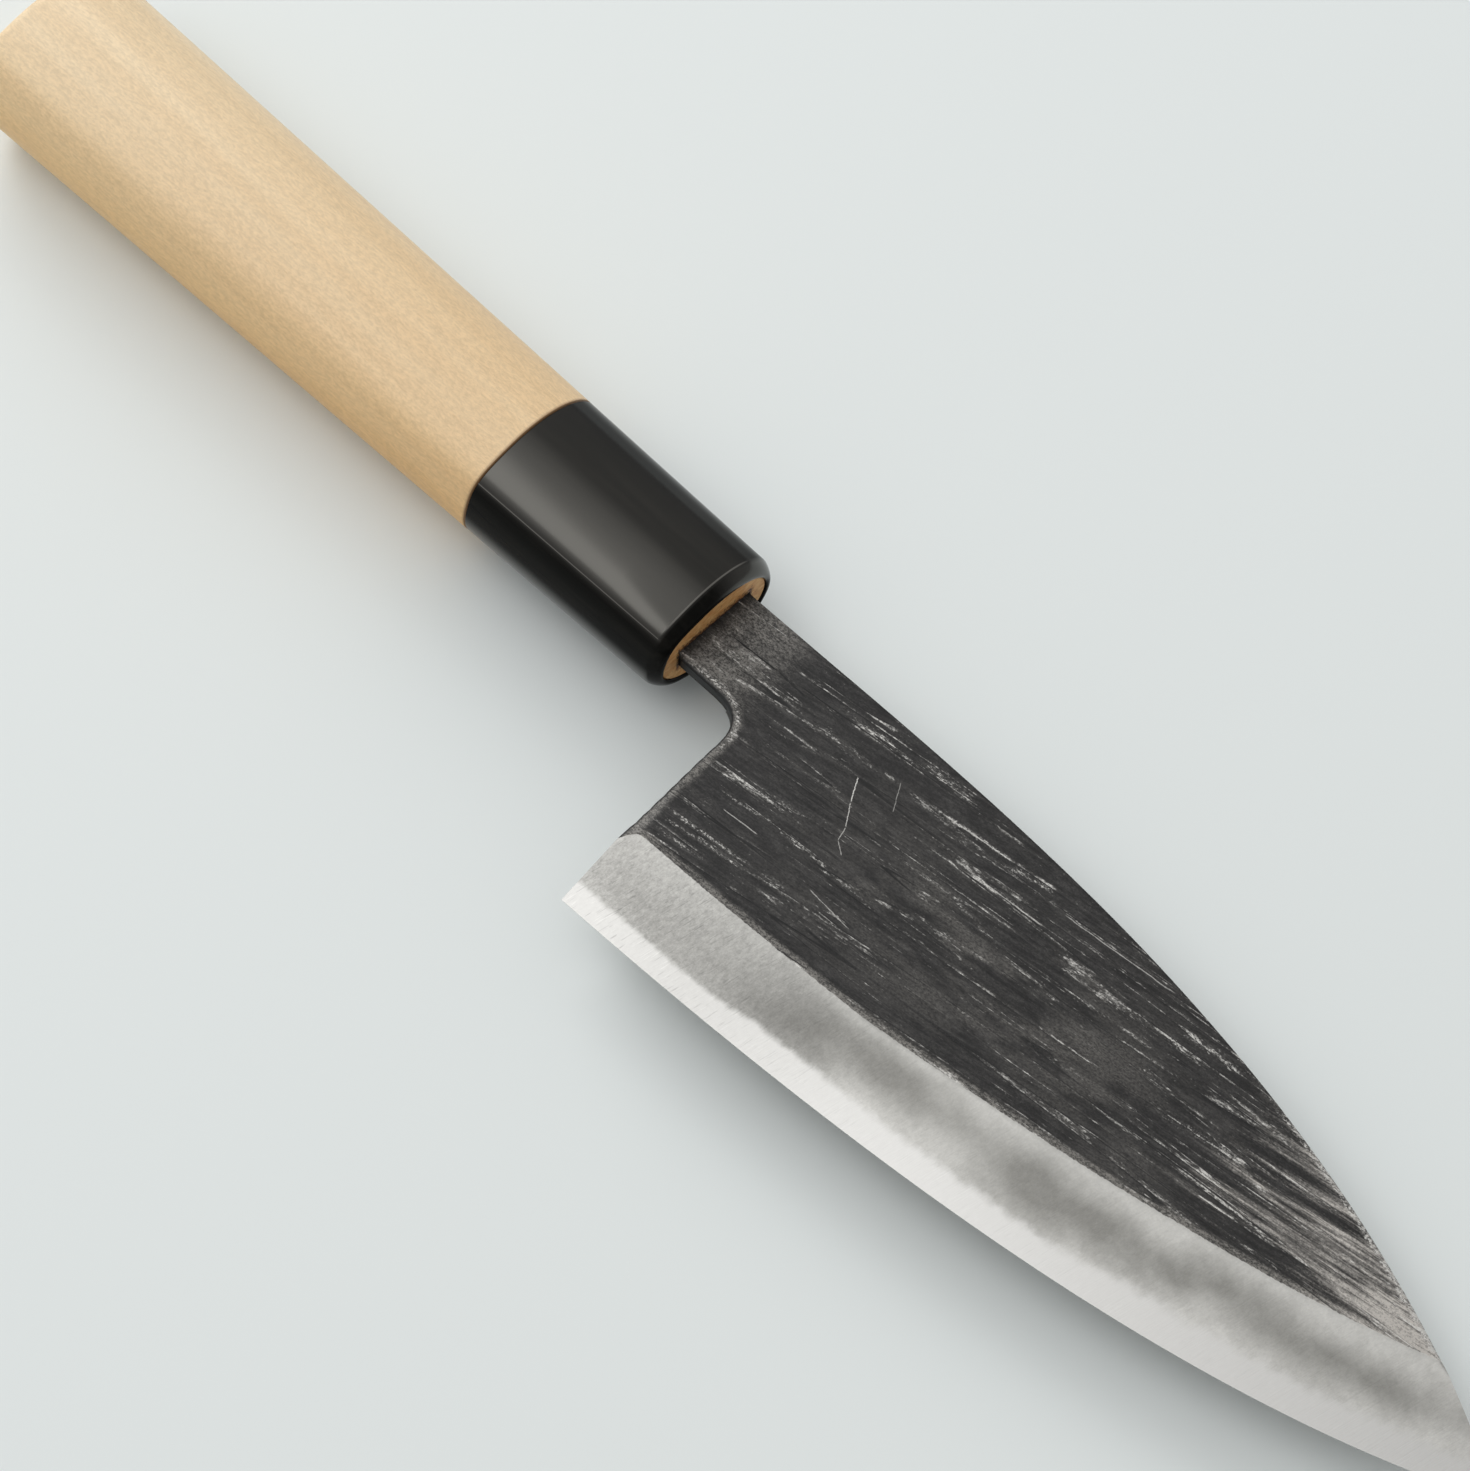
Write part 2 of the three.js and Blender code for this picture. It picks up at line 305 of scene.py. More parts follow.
# Blade
ironLow, ironHigh = knifeBox("soft_iron_body")
steelLow, steelHigh = knifeBox("edge_steel")
bladeForm = {
    "tipDrop": 15.3,  # mm below the axis
    "tipBlunt": 0.12,
    "heelReach": 11.6,
    "chinReach": 10.7,
    "choilRadius": 4.5,
    "neckHeight": 11.5,  # of the tang where it enters the handle
    "neckDrop": 0.55,  # how far the neck reaches below it
    "neckLean": 0.6,  # how far the neck's underside is drawn in at the back
    "neckEase": 0.4,  # length over which both begin at the handle
    "spineAngles": (0.7, -30.5),  # degrees at the neck and at the tip
    "spinePulls": (0.263, 0.336),
    "edgeAngles": (1.4, 26.6),
    "edgePulls": (0.449, 0.227),
    "bevelHeights": ((11, 11.0), (46, 11.1), (62, 11.9), (86, 12.8), (130, 13.3)),  # along x
    "tipThickness": 1.4,
    "edgeThickness": 0.06,
    "tangEnd": (3.0, 1.0),  # half height and half thickness
    "outlineRound": 0.4,
    "chinSoft": (2.0, 0.5),  # the chin's edge is ground off at the bevel line: width and depth
    "chinRise": (13, 1),  # heights above that line where the grind ends and where it is full
    "backRound": (0.15, 0.7),  # on the blade and at the choil
    "forgeDepth": 0.09,
    "forgeMarks": ((11, 3.2, 0.32), (7, 0.9, 0.18)),  # length, width and share of the broad and narrow marks
    "hollowDepth": 0.3,
    "hollowRims": (2.0, 2.5),  # along the edge and the spine
    "hollowGaps": (5.0, 14.0),  # from the heel and the tip
}
bladeMesh = {
    "columns": 260,
    "columnDraw": 1.22,  # above 1 draws the columns together at the heel
    "ironRows": (26, 210),  # on the bevel and above it
    "steelRows": (30, 56),
    "choilColumns": 8,
    "neckStep": 0.5,
    "tangColumns": 6,
    "wallSteps": (0.1, 0.5, 1),  # shares of the way down to the back
    "sharpAngle": 24,  # degrees
}
cutGap = 1e-4  # mm
meetGap = 1e-3
tipReach = steelHigh.x
heelDrop = steelLow.y
backLevel = steelLow.z
weldLevel = steelHigh.z
steelReach = steelLow.x
faceTop = ironHigh.z
tangReach = ironLow.x
neckHalf = bladeForm["neckHeight"] / 2
heel = Vector((bladeForm["heelReach"], heelDrop, 0))
tip = Vector((tipReach, -bladeForm["tipDrop"], 0))
chinTop = Vector((bladeForm["chinReach"], -neckHalf - bladeForm["neckDrop"], 0))
curveCount = 240


def bladeCurve(start, end, angles, pulls):
    span = end.x - start.x
    leave = start + Vector((1, math.tan(math.radians(angles[0])), 0)) * span * pulls[0]
    arrive = end - Vector((1, math.tan(math.radians(angles[1])), 0)) * span * pulls[1]
    return np.array([point[:2] for point in interpolate_bezier(start, leave, arrive, end, curveCount)])


spineCurve = bladeCurve(Vector((0, neckHalf, 0)), tip, bladeForm["spineAngles"], bladeForm["spinePulls"])
edgeCurve = bladeCurve(heel, tip, bladeForm["edgeAngles"], bladeForm["edgePulls"])


def spineAt(x):
    return np.interp(x, spineCurve[:, 0], spineCurve[:, 1])


def edgeAt(x):
    return np.interp(x, edgeCurve[:, 0], edgeCurve[:, 1])


def alongBlade(x, places, column=1):
    return np.interp(x, [place[0] for place in places], [place[column] for place in places])


def bevelAt(x):
    return alongBlade(x, bladeForm["bevelHeights"])


def faceAt(x):
    taper = np.clip(x, 0, None) / tipReach * (faceTop - backLevel - bladeForm["tipThickness"])
    tang = np.clip(x, None, 0) / tangReach * (faceTop - bladeForm["tangEnd"][1])
    return faceTop - taper - tang


def backAt(x):
    return backLevel - np.clip(x, None, 0) / tangReach * (backLevel + bladeForm["tangEnd"][1])


# Rear outline of the blade from the heel up the chin and round the choil to the neck
def choilPoint(share):
    chinEnd = chinTop + (heel - chinTop).normalized() * bladeForm["choilRadius"]
    neckEnd = chinTop - Vector((bladeForm["choilRadius"], 0, 0))
    return chinEnd.lerp(chinTop, share).lerp(chinTop.lerp(neckEnd, share), share)


rearSteps = 160
rearOutline = [heel.lerp(choilPoint(0), step / rearSteps) for step in range(rearSteps)]
rearOutline += [choilPoint(step / rearSteps) for step in range(rearSteps)]
rearOutline += [choilPoint(1).lerp(Vector((-1, chinTop.y, 0)), step / rearSteps) for step in range(rearSteps)]
rearOutline = np.array([point[:2] for point in rearOutline])


def fromRear(x, y):
    reach = np.full(len(x), 50.0)
    near = (x > -1) & (x < 16) & (y < 0)
    spread = np.stack((x[near], y[near]), 1)[:, None, :] - rearOutline[None, :, :]
    reach[near] = np.sqrt((spread ** 2).sum(2)).min(1)
    return reach


# A flat sheet of the blade's outline: rows from the edge to the spine, and columns from the tang to the tip
def bladeSheet(bevelRows, faceRows):
    bm = bmesh.new()
    rows = bevelRows + faceRows
    bmesh.ops.create_grid(bm, x_segments=bladeMesh["columns"], y_segments=rows, size=1)
    spineStart = chinTop.x + (chinTop.x - heel.x) / (chinTop.y - heel.y) * 2 * neckHalf
    tipEnd = tipReach - bladeForm["tipBlunt"]
    chinColumn = []
    for vert in bm.verts:
        along = (vert.co.x / 2 + 0.5) ** bladeMesh["columnDraw"]
        row = round((vert.co.y / 2 + 0.5) * rows)
        if along < 1e-6:
            chinColumn.append(vert)
        lowX, highX = mix(heel.x, tipEnd, along), mix(spineStart, tipEnd, along)
        low, high = Vector((lowX, edgeAt(lowX), 0)), Vector((highX, spineAt(highX), 0))
        crease = min(bevelAt(lowX) / (high.y - low.y), 0.97)
        if row <= bevelRows:
            vert.co = low.lerp(high, crease * row / bevelRows)
        else:
            vert.co = low.lerp(high, mix(crease, 1, (row - bevelRows) / faceRows))
    chinColumn = {vert for vert in chinColumn if vert.co.y > choilPoint(0).y - 0.15}
    column = [edge for edge in bm.edges if edge.verts[0] in chinColumn and edge.verts[1] in chinColumn]
    for low, high in neckColumns(spineStart):
        made = bmesh.ops.extrude_edge_only(bm, edges=column)
        verts = sorted(newVerts(made), key=lambda vert: vert.co.y)
        for row, vert in enumerate(verts):
            vert.co = low.lerp(high, row / (len(verts) - 1))
        column = newEdges(made)
    return bm


# Lower and upper ends of the columns behind the chin
def neckColumns(spineStart):
    columns = []
    for step in range(1, bladeMesh["choilColumns"] + 1):
        low = choilPoint(step / bladeMesh["choilColumns"])
        highX = mix(spineStart, choilPoint(1).x, step / bladeMesh["choilColumns"])
        columns.append((low, Vector((highX, spineAt(highX), 0))))
    steps = round(choilPoint(1).x / bladeMesh["neckStep"])
    for step in range(1, steps + 1):
        x = choilPoint(1).x * (1 - step / steps)
        low = -neckHalf - bladeForm["neckDrop"] * ease(x, 0, bladeForm["neckEase"])
        columns.append((Vector((x, low, 0)), Vector((x, spineAt(x), 0))))
    for step in range(1, bladeMesh["tangColumns"] + 1):
        x = tangReach * (step / bladeMesh["tangColumns"]) ** 2
        half = mix(neckHalf, bladeForm["tangEnd"][0], x / tangReach)
        columns.append((Vector((x, -half, 0)), Vector((x, half, 0))))
    return columns


def roundDrop(distance, radius):
    gap = radius - np.clip(distance, 0, radius)
    return radius - np.sqrt(radius ** 2 - gap ** 2)


def vertArrays(verts):
    places = np.array([vert.co for vert in verts])
    return places[:, 0], places[:, 1]


def chinDrop(x, y):
    width, depth = bladeForm["chinSoft"]
    share = ease(y - edgeAt(x) - bevelAt(x), *bladeForm["chinRise"])
    return depth * share * np.clip(1 - fromRear(x, y) / (width * share + 0.01), 0, 1) ** 2


# Right face: flat and forged above the bevel line, straight down to the edge below it
def raiseFace(bm):
    verts = bm.verts[:]
    x, y = vertArrays(verts)
    face = faceAt(x)
    edgeLevel = backLevel + bladeForm["edgeThickness"]
    above = y - edgeAt(x) - bevelAt(x)
    bevel = edgeLevel + (face - edgeLevel) * (above / bevelAt(x) + 1)
    dents = np.array([forgeDent(vert.co) for vert in verts]) * ease(above, 0, 2) * ease(x, -1, 3)
    face = face - dents * bladeForm["forgeDepth"]
    face = face - chinDrop(x, y)
    level = np.where((above < 0) & (x > chinTop.x - 0.5), np.minimum(bevel, face), face)
    outline = np.minimum(spineAt(x) - y, fromRear(x, y))
    drop = roundDrop(outline, bladeForm["outlineRound"]) * ease(above, -1, 1)
    for vert, z in zip(verts, level - drop):
        vert.co.z = z
    onLine = {vert for vert, gap in zip(verts, above) if abs(gap) < 0.02}
    for edge in bm.edges:
        edge.seam = edge.verts[0] in onLine and edge.verts[1] in onLine


# 0 to 1, in long shallow hammer and drawing marks
def forgeDent(place):
    dent = 0.5
    for layer, (length, width, share) in zip((1.7, 8.3), bladeForm["forgeMarks"]):
        dent += share * noise.noise(Vector((place.x / length, place.y / width, layer)))
    return dent


# Walls down to the back, drawn in under the neck, and closed by one flat face
def closeBack(bm):
    rim = [edge for edge in bm.edges if edge.is_boundary]
    for share in bladeMesh["wallSteps"]:
        lean = bladeForm["neckLean"] if share == 1 else 0
        made = bmesh.ops.extrude_edge_only(bm, edges=rim)
        for vert in newVerts(made):
            vert.co.z = mix(vert.co.z, backAt(vert.co.x), share)
            if vert.co.y < 0:
                fromHandle = ease(vert.co.x, 0, bladeForm["neckEase"])
                vert.co.y += lean * fromHandle * ease(vert.co.x, chinTop.x, steelReach)
        rim = newEdges(made)
    bmesh.ops.contextual_create(bm, geom=rim)


def cutAt(bm, place, normal):
    parts = bm.verts[:] + bm.edges[:] + bm.faces[:]
    bmesh.ops.bisect_plane(bm, geom=parts, dist=cutGap, plane_co=place, plane_no=normal)


def removeFaces(bm, unwanted):
    gone = [face for face in bm.faces if unwanted(face.calc_center_median())]
    bmesh.ops.delete(bm, geom=gone, context="FACES")


# Closes the step where the steel starts, and then the weld, with a sharp line round both
def closeWeld(bm):
    rim = [edge for edge in bm.edges if edge.is_boundary]
    for edge in rim:
        edge.seam = True
    rimVerts = {vert for edge in rim for vert in edge.verts}
    stepVerts = [vert for vert in rimVerts if abs(vert.co.x - steelReach) < meetGap]
    corners = [vert for vert in stepVerts if abs(vert.co.z - weldLevel) < meetGap]
    weldEdge = bmesh.ops.contextual_create(bm, geom=corners)["edges"]
    stepVerts = set(stepVerts)
    stepRim = [edge for edge in rim if edge.verts[0] in stepVerts and edge.verts[1] in stepVerts]
    bmesh.ops.edgenet_fill(bm, edges=stepRim + weldEdge)
    bmesh.ops.holes_fill(bm, edges=[edge for edge in bm.edges if edge.is_boundary], sides=0)


def makeIron():
    bm = bladeSheet(*bladeMesh["ironRows"])
    raiseFace(bm)
    closeBack(bm)
    cutAt(bm, (0, 0, 0), (1, 0, 0))
    cutAt(bm, (steelReach, 0, 0), (1, 0, 0))
    cutAt(bm, (0, 0, weldLevel), (0, 0, 1))
    removeFaces(bm, lambda middle: middle.x > steelReach and middle.z < weldLevel - cutGap)
    closeWeld(bm)
    return bm


# Back of the steel, hollow ground between flat rims
def hollowAt(x, y):
    start = heel.x + bladeForm["hollowGaps"][0]
    end = tipReach - bladeForm["hollowGaps"][1]
    along = np.clip((x - start) / (end - start), 0, 1)
    low = edgeAt(x) + bladeForm["hollowRims"][0]
    high = spineAt(x) - bladeForm["hollowRims"][1]
    across = np.clip((y - low) / np.maximum(high - low, 0.1), 0, 1)
    return bladeForm["hollowDepth"] * np.sqrt(np.sin(math.pi * along)) * np.sin(math.pi * across)


def makeSteel():
    bm = bladeSheet(*bladeMesh["steelRows"])
    raiseFace(bm)
    made = bmesh.ops.extrude_face_region(bm, geom=bm.faces[:])
    backVerts = newVerts(made)
    x, y = vertArrays(backVerts)
    above = y - edgeAt(x) - bevelAt(x)
    rearRound = mix(*bladeForm["backRound"], ease(x, heel.x, steelReach))
    spineRise = roundDrop(spineAt(x) - y, bladeForm["backRound"][0])
    rise = np.maximum(spineRise, roundDrop(fromRear(x, y), rearRound)) * ease(above, -9, -7)
    for vert, z in zip(backVerts, backAt(x) + hollowAt(x, y) + rise):
        vert.co.z = z
    cutAt(bm, (steelReach, 0, 0), (1, 0, 0))
    cutAt(bm, (0, 0, weldLevel), (0, 0, 1))
    removeFaces(bm, lambda middle: middle.x < steelReach or middle.z > weldLevel + cutGap)
    closeWeld(bm)
    bmesh.ops.recalc_face_normals(bm, faces=bm.faces[:])
    for face in bm.faces:
        middle = face.calc_center_median()
        if abs(face.normal.z) < 0.5 and middle.y > edgeAt(middle.x) + 0.3:
            face.material_index = 1
        if face.normal.z < -0.5:
            face.material_index = 2
    return bm


ferruleBack, ferruleFront = knifeBox("ferrule")
handleBack = knifeBox("handle")[0]


# Finishes of the blade. Both pieces read the same painted measures, so that the bevel runs on over the weld.
scaleLook = {
    "dark": tone(28, 27, 27),
    "haze": tone(50, 49, 48),
    "groove": tone(12, 12, 12),
    "dulled": tone(128, 125, 120),
    "worn": tone(222, 220, 215),
    "polished": tone(208, 203, 196),
    "roughness": 0.5,
    "gloss": 0.35,
    "markTurn": 7.0,  # degrees from the blade's length
}
# Thin scratches through the scale: both ends in mm, half width and strength
scratches = (
    ((24.8, -2.5), (26.4, -5.5), 0.09, 1.0),
    ((26.4, -5.5), (28.2, -8.2), 0.08, 0.8),
    ((28.2, -8.2), (28.7, -10.0), 0.08, 0.6),
    ((28.7, -10.0), (30.3, -11.1), 0.08, 0.5),
    ((28.6, 0.5), (30.6, -3.0), 0.07, 0.4),
    ((17.0, -16.5), (22.0, -16.0), 0.08, 0.6),
    ((30.6, -16.7), (37.2, -17.1), 0.07, 0.6),
    ((34.4, 1.0), (44.4, 2.3), 0.10, 0.8),
    ((43.3, -2.0), (51.9, -1.2), 0.09, 0.7),
    ((52.4, 1.6), (67.9, 3.4), 0.09, 0.6),
)
# Thin dark grooves on the neck, given the same way
neckGrooves = (
    ((2.4, 0.1), (9.2, 0.6), 0.11, 1.0),
    ((9.2, 0.6), (13.7, 0.5), 0.12, 0.8),
    ((5.7, -2.4), (8.7, -1.9), 0.09, 0.7),
    ((7.6, -6.0), (9.8, -5.8), 0.10, 0.9),
    ((3.0, 3.4), (7.5, 3.9), 0.10, 0.6),
)
bevelLook = {
    "iron": tone(176, 175, 171),
    "cloud": tone(126, 125, 121),
    "heelGain": 0.88,  # the iron's colour grows brighter toward the tip
    "midGain": 1.25,
    "tipGain": 1.28,  # on top of the one before
    "gainPlaces": (36, 56, 125),  # mm along the blade
    "heelRun": (20, 60),  # where the coarser scratches of the heel fade out
    # painted shade: the steel is darker at the heel
    "shadedSteelHeel": tone(193, 192, 189),
    "steel": tone(219, 218, 215),
    "brushTurn": 75.0,  # degrees from the blade's length
    "roughness": 0.36,
}


# Ground bevel: stoned iron with a soft cloud and fine scratches, and the bright steel along the edge
def bevelColour(tree, coords):
    turn = bevelLook["brushTurn"]
    brush = grain(coords, (8.0, 0.13, 0.5), turn, 1.5, 0.5)
    mottle = grain(coords, (0.9, 0.6, 0.6), turn, 5.0, 0.7)
    flow = grain(coords, (1.8, 1.3, 1.3), turn, 4.0, 0.6)
    billow = grain(coords, (6.0, 9.0, 3.0), turn, 3.0, 0.5)
    grit = grain(coords, (0.3, 0.22, 0.3), turn, 3.0, 0.6)
    along = spreadOut(coords)[0]
    heelRun = bevelLook["heelRun"]
    gainStart, gainMiddle, gainEnd = bevelLook["gainPlaces"]
    feather = times(fade(billow, 0.25, 0.75, -0.28, 0.28), fade(along, 25, 60, 0.3, 1.0))
    cloud = plus(painted(tree, "cloud"), feather)
    iron = blend(cloud, bevelLook["iron"], bevelLook["cloud"])
    iron = scaled(iron, fade(along, gainStart, gainMiddle, bevelLook["heelGain"], bevelLook["midGain"]))
    iron = scaled(iron, fade(along, gainMiddle, gainEnd, 1.0, bevelLook["tipGain"]))
    # Painted shade: the steel darkens toward the heel
    steel = blend(fade(along, 25, 65), bevelLook["shadedSteelHeel"], bevelLook["steel"])
    ragged = fade(flow, 0.25, 0.75, -0.4, 0.4)
    border = plus(painted(tree, "aboveBand"), ragged)
    onIron = fade(border, -1.0, 1.0)
    bevel = blend(onIron, steel, iron)
    rough = plus(times(mottle, 0.6), times(grit, 0.4))
    depth = times(fade(onIron, 0, 1, 0.2, 1.0), fade(along, *heelRun, 0.75, 0.32))
    shade = times(calc("SUBTRACT", rough, 0.5), depth)
    bevel = scaled(bevel, plus(times(shade, 2.0), 1.0))
    bevel = scaled(bevel, fade(brush, 0.26, 0.38, fade(along, *heelRun, 0.72, 0.95), 1.0))
    bevel = scaled(bevel, fade(brush, 0.62, 0.74, 1.0, fade(along, *heelRun, 1.12, 1.02)))
    return bevel, brush


# One thin straight mark, 1 along its middle
def scratch(coords, start, end, halfWidth, wobble):
    run = Vector(end) - Vector(start)
    sockets = {"Vector": coords, "Location": (*start, 0), "Rotation": (0, 0, math.atan2(run.y, run.x)),
               "Scale": (run.length, halfWidth, 1)}
    laid = addNode(coords.id_data, "Mapping", sockets, vector_type="TEXTURE").outputs[0]
    along, side, _ = spreadOut(laid)
    across = calc("ABSOLUTE", plus(side, wobble))
    fromMiddle = calc("ABSOLUTE", calc("SUBTRACT", along, 0.5))
    return times(fade(across, 1.0, 0.3), fade(fromMiddle, 0.5, 0.42))


# Thin dark grooves where the noise crosses its middle, and the worn shoulder along one side of each
def drawnGrooves(coords, size, turn, breaks):
    folds = grain(coords, size, turn, 0.0, 0.4)
    side = calc("SUBTRACT", folds, 0.5)
    line = fade(calc("ABSOLUTE", side), 0.015, 0.004)
    groove = times(line, fade(breaks, 0.42, 0.54))
    shoulder = times(fade(side, 0.0, 0.015), fade(side, 0.10, 0.015))
    return groove, shoulder


# Black forge scale: dark skin with drawn out grooves, worn to bare iron along their shoulders
def scaleColour(tree, coords):
    turn = scaleLook["markTurn"]
    breaks = grain(coords, (9.0, 2.0, 2.0), turn, 2.0, 0.5)
    patches = grain(coords, (7.0, 2.6, 2.0), turn, 4.0, 0.6)
    dashes = grain(coords, (2.2, 0.3, 0.5), turn, 5.0, 0.62)
    drawn = grain(coords, (18.0, 1.2, 1.0), turn + 3, 4.0, 0.6)
    thinDrawn = grain(coords, (11.0, 0.5, 1.0), turn + 3, 3.0, 0.6)
    fine = grain(coords, (0.36, 0.2, 0.3), turn, 3.0, 0.65)
    speckle = grain(coords, (0.34, 0.24, 0.3), turn, 5.0, 0.8)
    mottle = grain(coords, (2.6, 0.9, 0.9), turn, 6.0, 0.72)
    flecks = grain(coords, (1.1, 0.4, 0.4), turn, 4.0, 0.7)
    wide, wideShoulder = drawnGrooves(coords, (70.0, 2.2, 3.0), turn, breaks)
    close, closeShoulder = drawnGrooves(coords, (40.0, 1.1, 2.0), turn - 1, breaks)
    groove = calc("MAXIMUM", wide, times(close, 0.7))
    along = spreadOut(coords)[0]
    broken = fade(speckle, 0.36, 0.60, fade(along, 30, 50, 0.85, 0.2), 0.95)
    groove = times(groove, fade(along, 2, 16, 0.15, 1.0), broken)
    streaks = calc("MAXIMUM", wideShoulder, times(closeShoulder, 0.8))
    grit = times(calc("SUBTRACT", fine, 0.5), 0.6)

    skin = blend(fade(mottle, 0.36, 0.70), scaleLook["dark"], scaleLook["haze"])
    skin = scaled(skin, fade(thinDrawn, 0.36, 0.64, 0.7, 1.35))
    skin = scaled(skin, fade(speckle, 0.38, 0.66, 0.7, 1.7))
    veil = grain(coords, (12.0, 4.0, 3.0), turn, 4.0, 0.6)
    veil = times(fade(veil, 0.42, 0.64), painted(tree, "veil"))
    gathered = fade(patches, 0.4, 0.64, 0.35, 1.35)
    wear = times(painted(tree, "wear"), fade(streaks, 0, 1, 0.15, 1.2), gathered)
    stipple = fade(speckle, 0.36, 0.64, 0.35, 1.25)
    wear = plus(wear, times(painted(tree, "rub"), stipple))
    grey = plus(times(wear, 0.35), veil)
    grey = times(grey, fade(fine, 0.3, 0.7, 0.15, 1.05))
    haze = times(painted(tree, "haze"), fade(speckle, 0.40, 0.66, 0.15, 1.5),
                 fade(mottle, 0.36, 0.62, 0.5, 1.3))
    skin = blend(plus(grey, haze), skin, scaleLook["dulled"])

    tipWear = painted(tree, "tipWear")
    level = plus(times(drawn, 2.2), times(tipWear, 0.45))
    level = plus(level, times(grit, 0.7))
    polish = times(fade(level, 1.15, 1.9), fade(tipWear, 0.02, 0.3),
                   fade(speckle, 0.36, 0.62, 0.5, 1.25), fade(thinDrawn, 0.40, 0.54, 0.35, 1.15))
    skin = blend(polish, skin, scaleLook["polished"])
    # The grooves take the groove's near-black, and so do the walls and a thin line round the face, the black
    # scale deepened there as painted shade
    skin = blend(calc("MAXIMUM", groove, painted(tree, "wall")), skin, scaleLook["groove"])

    level = plus(plus(dashes, grit), times(wear, 0.5))
    bare = times(fade(level, 0.69, 1.08), fade(speckle, 0.36, 0.6, 0.3, 1.25),
                 fade(flecks, 0.40, 0.56, 0.2, 1.25), calc("SUBTRACT", 1.0, groove))
    wobble = fade(dashes, 0.3, 0.7, -0.6, 0.6)
    for start, end, halfWidth, strength in scratches:
        mark = scratch(coords, start, end, halfWidth, wobble)
        mark = times(mark, strength, fade(speckle, 0.34, 0.54, 0.4, 1.0))
        bare = calc("MAXIMUM", bare, mark)
    for start, end, halfWidth, strength in neckGrooves:
        mark = times(scratch(coords, start, end, halfWidth, wobble), strength)
        skin = blend(mark, skin, scaleLook["groove"])
    relief = calc("SUBTRACT", mottle, groove)
    colour = blend(bare, skin, scaleLook["worn"])
    return colour, calc("MAXIMUM", bare, polish), relief


def ironFinish():
    material, tree, coords = newFinish("forgeBlackIron")
    bevel, brush = bevelColour(tree, coords)
    scale, bare, relief = scaleColour(tree, coords)
    fine = grain(coords, (0.5, 0.3, 0.3), 0.0, 3.0, 0.6)
    edgeLine = plus(painted(tree, "aboveLine"), fade(fine, 0.2, 0.8, -0.07, 0.07))
    onScale = fade(edgeLine, -0.06, 0.06)
    metal = calc("MAXIMUM", times(bare, 0.5), calc("SUBTRACT", 1.0, onScale))
    height = blend(onScale, times(brush, 0.4), relief)
    return dressed(material, {
        "Base Color": blend(onScale, bevel, scale),
        "Metallic": metal,
        "Roughness": fade(metal, 0, 1, scaleLook["roughness"], bevelLook["roughness"]),
        "Specular IOR Level": scaleLook["gloss"],
        "Normal": bump(height, 0.05, 0.5),
    })


def groundSteel(colour, brush):
    return {"Base Color": colour, "Metallic": 1.0, "Roughness": bevelLook["roughness"],
            "Normal": bump(brush, 0.02, 0.5)}


def steelFinish():
    material, tree, coords = newFinish("groundEdgeSteel")
    bevel, brush = bevelColour(tree, coords)
    return dressed(material, groundSteel(bevel, brush))


backLook = {
    "steel": tone(186, 185, 181),
    "dim": tone(168, 167, 163),
    "brushTurn": 6.0,  # degrees from the blade's length
}


# The hollow ground back, brushed along the blade
def backFinish():
    material, _, coords = newFinish("hollowGroundBack")
    brush = grain(coords, (9.0, 0.16, 0.5), backLook["brushTurn"], 3.0, 0.55)
    colour = blend(fade(brush, 0.3, 0.7), backLook["dim"], backLook["steel"])
    return dressed(material, groundSteel(colour, brush))


hornLook = {
    "black": tone(14, 14, 13),
    "cloudy": tone(24, 23, 21),
    "roughness": 0.17,
    "gloss": (0.75, 0.06, 1.0),  # on the upper side, where painted shade dulls it, and along the ridge as a painted highlight
    "shadeBelow": (131, 147, 170, 188),  # degrees round the handle where the painted shade below the ridge lies
    "shadeSpine": (75, 40),  # and where the painted shade along the spine side grows
    "litReach": (45, 15),  # degrees from the part of the rim that is left without painted shade
    "ridgeHalf": 1.5,  # degrees of painted highlight gloss to each side of the ridge
    "sheen": (1.0, 0.97, 0.89, 1),
    "paintedHighlight": tone(96, 94, 90),  # painted highlight: thin light lines along the ridge and the crease of the rim
    "highlightWidth": (0.15, 0.03),  # mm from the crease
    "highlightRise": (5.8, 7.4),  # mm up the right side, where that line begins
}


def hornFinish():
    material, tree, coords = newFinish("blackHorn")
    fibres = grain(coords, (16.0, 1.2, 1.2), 0.0, 3.0, 0.6)
    horn = blend(fade(fibres, 0.4, 0.75), hornLook["black"], hornLook["cloudy"])
    along, _, out = spreadOut(coords)
    # Painted highlight: thin light lines of colour along the crease of the rim and along the ridge
    fromCrease = calc("ABSOLUTE", plus(along, ferruleForm["rimDepth"]))
    onCrease = times(fade(fromCrease, *hornLook["highlightWidth"]), fade(out, *hornLook["highlightRise"]))
    gloss = painted(tree, "gloss")
    paintedHighlight = calc("MAXIMUM", onCrease, fade(gloss, 0.8, 1.0))
    return dressed(material, {
        "Base Color": blend(paintedHighlight, horn, hornLook["paintedHighlight"]),
        "Roughness": hornLook["roughness"],
        "Specular IOR Level": gloss,
        "Specular Tint": hornLook["sheen"],
    })


woodLook = {
    "pale": tone(238, 215, 178),
    "deep": tone(231, 205, 166),
    "fleck": tone(206, 170, 124),
    "warmShade": (0.93, 0.79, 0.57, 1),  # painted warm shade on the edge side
    "warmShadeWay": (0, -0.07, -0.067),  # toward it, per mm
    "handled": (0.94, 0.88, 0.80, 1),  # tint toward the ferrule
    "joint": tone(120, 84, 48),
    "roughness": 0.5,
    "tenon": tone(208, 146, 84),
    "tenonLight": tone(230, 184, 122),
    "burnt": tone(70, 40, 20),
    "singeShadeShare": 0.45,  # below 1 the singed dark, with painted shade in the recess, reaches further over the tang's flat sides
    "tenonRoughness": 0.6,
}


